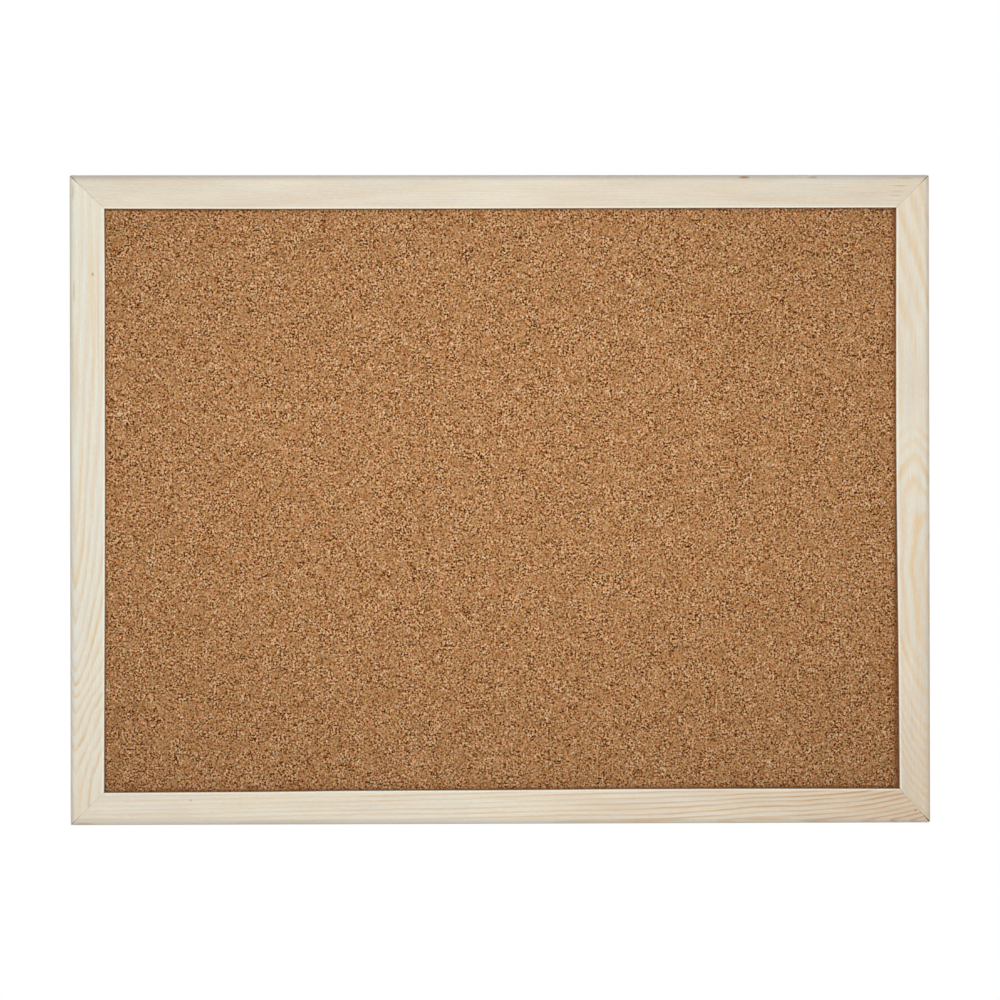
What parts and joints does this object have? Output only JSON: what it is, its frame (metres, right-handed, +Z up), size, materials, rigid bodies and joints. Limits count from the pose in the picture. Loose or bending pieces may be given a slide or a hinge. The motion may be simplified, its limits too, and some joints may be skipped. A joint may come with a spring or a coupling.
{
  "type": "cork pin board",
  "caption": "Landscape cork pin board in a mitred pine frame, with softboard core, hardboard back and swinging ring hangers, for pinning badges and notes on a wall.",
  "frame": {"origin": "centre of the frame's back plane, which lies against the wall", "axes": "+X right as seen from the front, +Y out of the back towards the wall, +Z up; the cork faces -Y"},
  "size_m": [0.4, 0.0184, 0.302],
  "materials": {
    "pine": "sanded, bare or thinly sealed pale pine",
    "cork": "pressed granules, matt",
    "softboard": "raw wood-fibre softboard",
    "hardboard": "smooth brown hardboard",
    "spring_steel": "bright spring-steel strip",
    "zinc_plate": "zinc plated, satin"
  },
  "bodies": {
    "board": {"top_rail": "pine", "bottom_rail": "pine", "left_stile": "pine", "right_stile": "pine", "cork_sheet": "cork", "softboard_core": "softboard", "hardboard_back": "hardboard", "top_retaining_point_1": "spring_steel", "top_retaining_point_2": "spring_steel", "top_retaining_point_3": "spring_steel", "bottom_retaining_point_1": "spring_steel", "bottom_retaining_point_2": "spring_steel", "bottom_retaining_point_3": "spring_steel", "left_retaining_point_1": "spring_steel", "left_retaining_point_2": "spring_steel", "right_retaining_point_1": "spring_steel", "right_retaining_point_2": "spring_steel", "v_nail_top_left_outer": "spring_steel", "v_nail_top_left_inner": "spring_steel", "v_nail_top_right_outer": "spring_steel", "v_nail_top_right_inner": "spring_steel", "v_nail_bottom_right_outer": "spring_steel", "v_nail_bottom_right_inner": "spring_steel", "v_nail_bottom_left_outer": "spring_steel", "v_nail_bottom_left_inner": "spring_steel", "left_hanger_strap": "zinc_plate", "left_hanger_screw": "zinc_plate", "right_hanger_strap": "zinc_plate", "right_hanger_screw": "zinc_plate"},
    "left_ring": {"left_hanger_ring": "zinc_plate"},
    "right_ring": {"right_hanger_ring": "zinc_plate"}
  },
  "joints": [
    {"name": "left_ring_swing", "type": "hinge", "parent": "board", "child": "left_ring", "pos_m": [-0.1906, 0.00175, 0.051], "axis": [0, 0, 1], "range_deg": [-15, 170]},
    {"name": "right_ring_swing", "type": "hinge", "parent": "board", "child": "right_ring", "pos_m": [0.1906, 0.00175, 0.051], "axis": [0, 0, -1], "range_deg": [-15, 170]}
  ]
}
